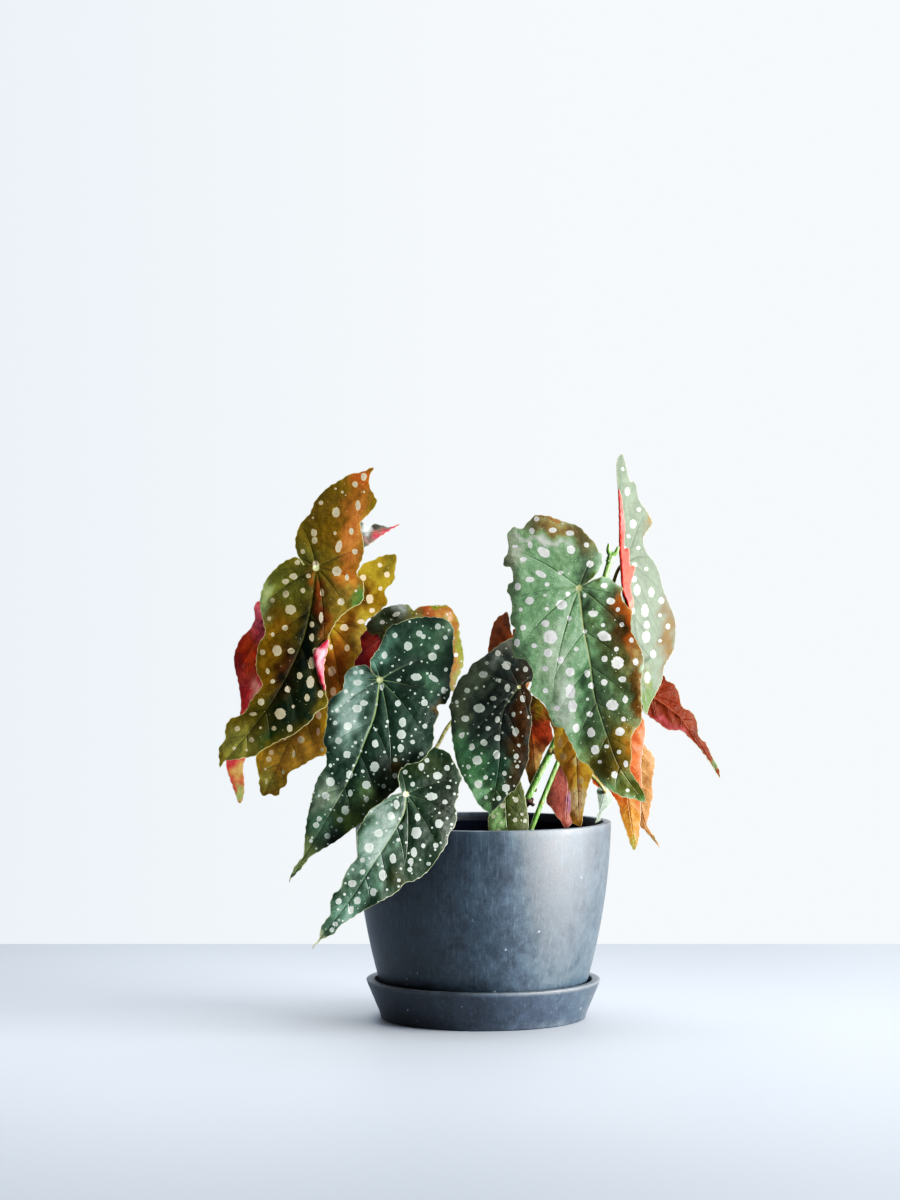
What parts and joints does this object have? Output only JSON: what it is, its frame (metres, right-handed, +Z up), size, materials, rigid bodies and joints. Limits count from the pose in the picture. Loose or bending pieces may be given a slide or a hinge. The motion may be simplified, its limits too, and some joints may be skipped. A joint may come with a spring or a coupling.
{
  "type": "potted polka dot begonia",
  "caption": "Angel-wing house plant with white-spotted, red-backed leaves on upright canes, growing in a round slate-grey pot that stands in a shallow flared saucer.",
  "frame": {"origin": "centre of the saucer's flat resting face, under the pot's axis", "axes": "+Z up along the pot's axis; the plant's front, with the upper leaf faces, looks along -Y"},
  "size_m": [0.3153, 0.1826, 0.3524],
  "materials": {
    "composite": "matte",
    "soil": "matte",
    "cane": "satin",
    "stalk": "satin",
    "blade": "satin",
    "bract": "matte"
  },
  "bodies": {
    "root": {"pot": "composite", "saucer": "composite", "soil": "soil", "cane_left": "cane", "cane_middle": "cane", "cane_right": "cane", "cane_right_second": "cane", "leaf_left_top": "blade", "stalk_left_top": "stalk", "leaf_left_behind": "blade", "stalk_left_behind": "stalk", "leaf_left_outer": "blade", "stalk_left_outer": "stalk", "leaf_left_rear": "blade", "stalk_left_rear": "stalk", "leaf_centre_left": "blade", "stalk_centre_left": "stalk", "leaf_centre_rear": "blade", "stalk_centre_rear": "stalk", "leaf_red_inner": "blade", "stalk_red_inner": "stalk", "leaf_front_low": "blade", "stalk_front_low": "stalk", "leaf_centre": "blade", "stalk_centre": "stalk", "leaf_rim_small": "blade", "stalk_rim_small": "stalk", "leaf_right_large": "blade", "stalk_right_large": "stalk", "leaf_right_tall": "blade", "stalk_right_tall": "stalk", "leaf_right_outer": "blade", "stalk_right_outer": "stalk", "leaf_right_hanging": "blade", "stalk_right_hanging": "stalk", "leaf_right_hanging_rear": "blade", "stalk_right_hanging_rear": "stalk", "leaf_centre_top_rear": "blade", "stalk_centre_top_rear": "stalk", "leaf_low_right": "blade", "stalk_low_right": "stalk", "leaf_low_salmon": "blade", "stalk_low_salmon": "stalk", "leaf_low_rear": "blade", "stalk_low_rear": "stalk", "leaf_rim_right": "blade", "stalk_rim_right": "stalk", "bract_low": "bract", "bract_high": "bract"}
  },
  "joints": []
}
